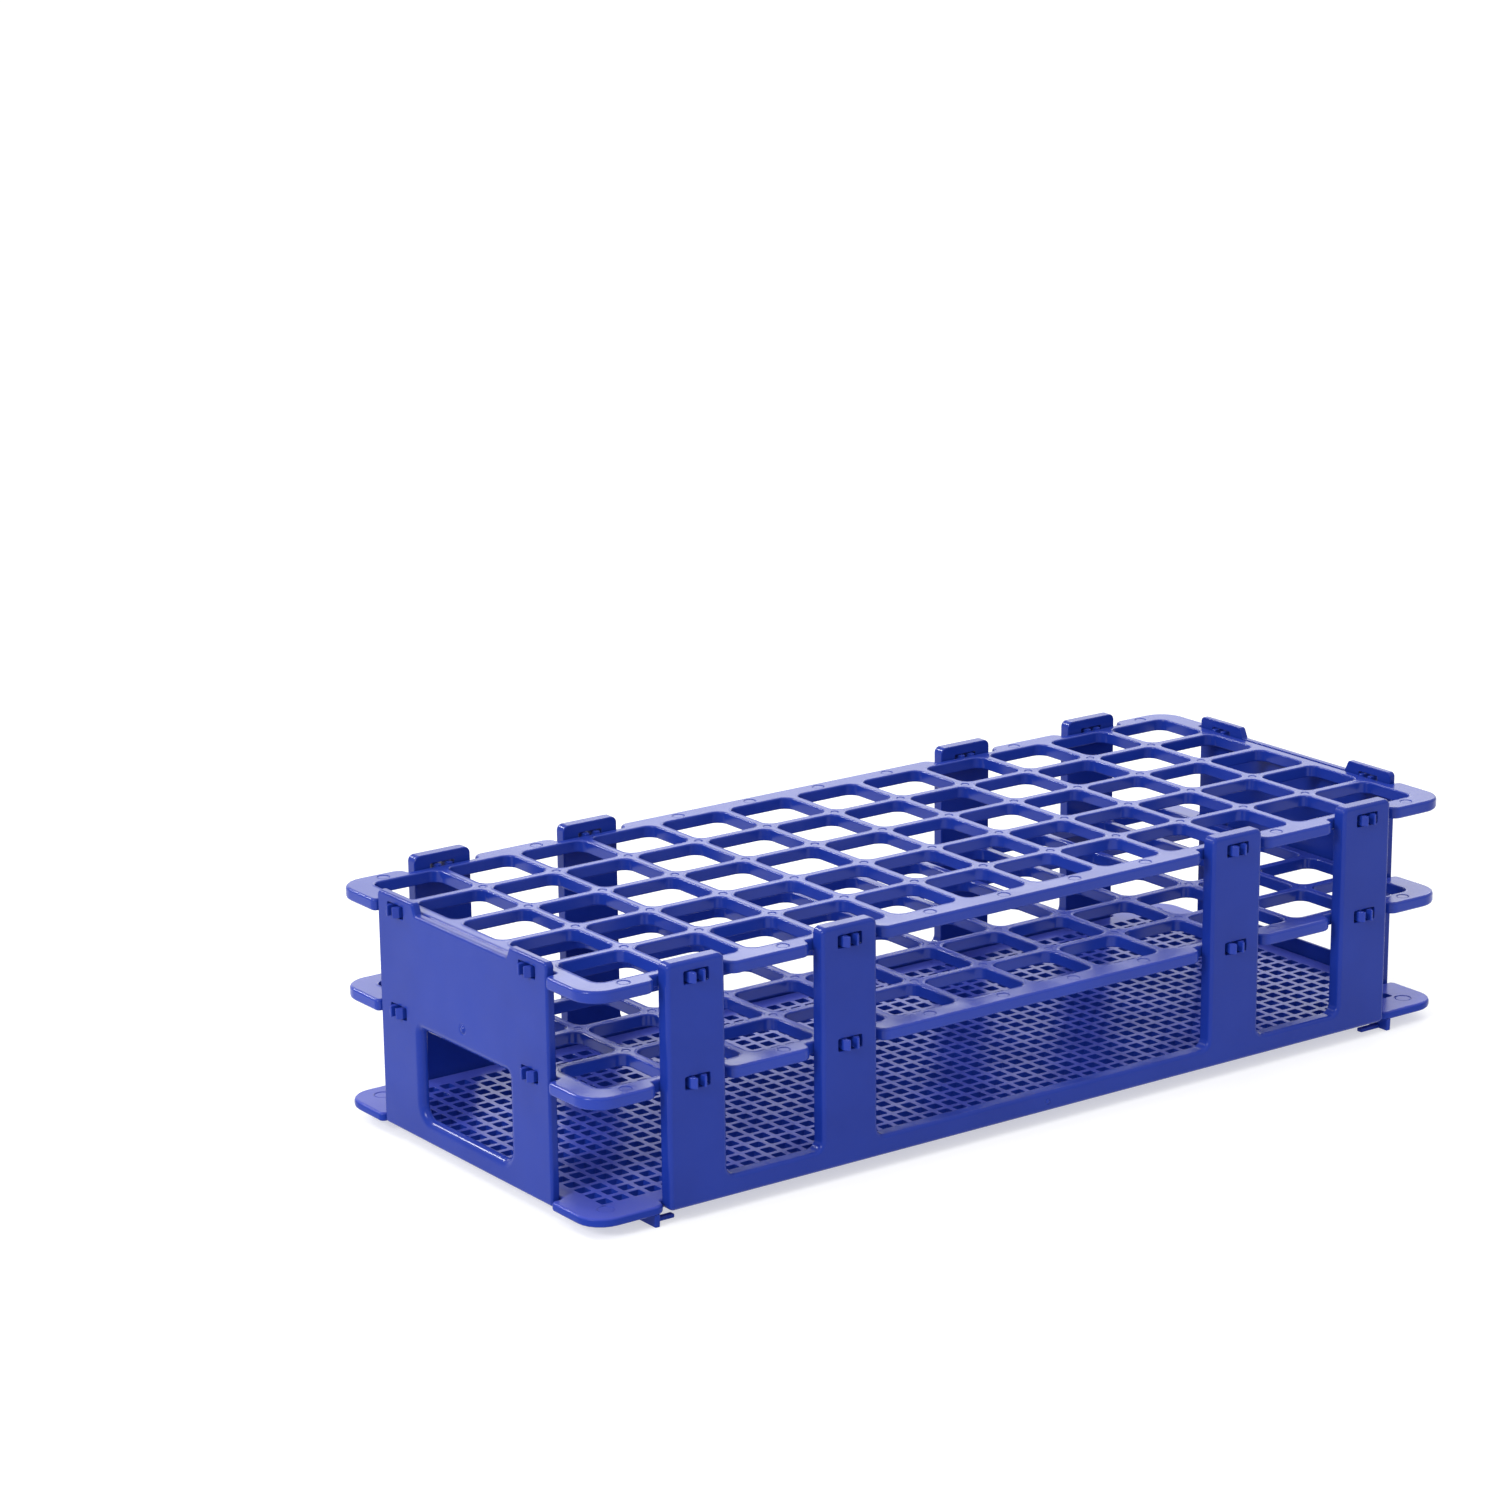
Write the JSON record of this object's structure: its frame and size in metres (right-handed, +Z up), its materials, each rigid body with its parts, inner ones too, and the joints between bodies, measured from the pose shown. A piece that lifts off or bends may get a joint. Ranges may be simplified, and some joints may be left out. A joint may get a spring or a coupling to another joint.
{
  "type": "test tube rack",
  "caption": "Low plastic rack that holds test tubes upright in open grid trays above a drained floor, snapped together from trays, notched side panels and end panels with hand holes.",
  "frame": {"origin": "middle of the footprint, on the surface that the feet stand on", "axes": "+X along the rack, +Y across it towards the back long side, +Z up"},
  "size_m": [0.2478, 0.107, 0.0585],
  "materials": {
    "top_tray": "satin moulded polypropylene",
    "middle_tray": "satin moulded polypropylene",
    "bottom_tray": "satin moulded polypropylene",
    "front_panel": "satin moulded polypropylene",
    "back_panel": "satin moulded polypropylene",
    "left_end_panel": "satin moulded polypropylene",
    "right_end_panel": "satin moulded polypropylene"
  },
  "bodies": {
    "root": {"top_tray": "top_tray", "middle_tray": "middle_tray", "bottom_tray": "bottom_tray", "front_panel": "front_panel", "back_panel": "back_panel", "left_end_panel": "left_end_panel", "right_end_panel": "right_end_panel"}
  },
  "joints": []
}
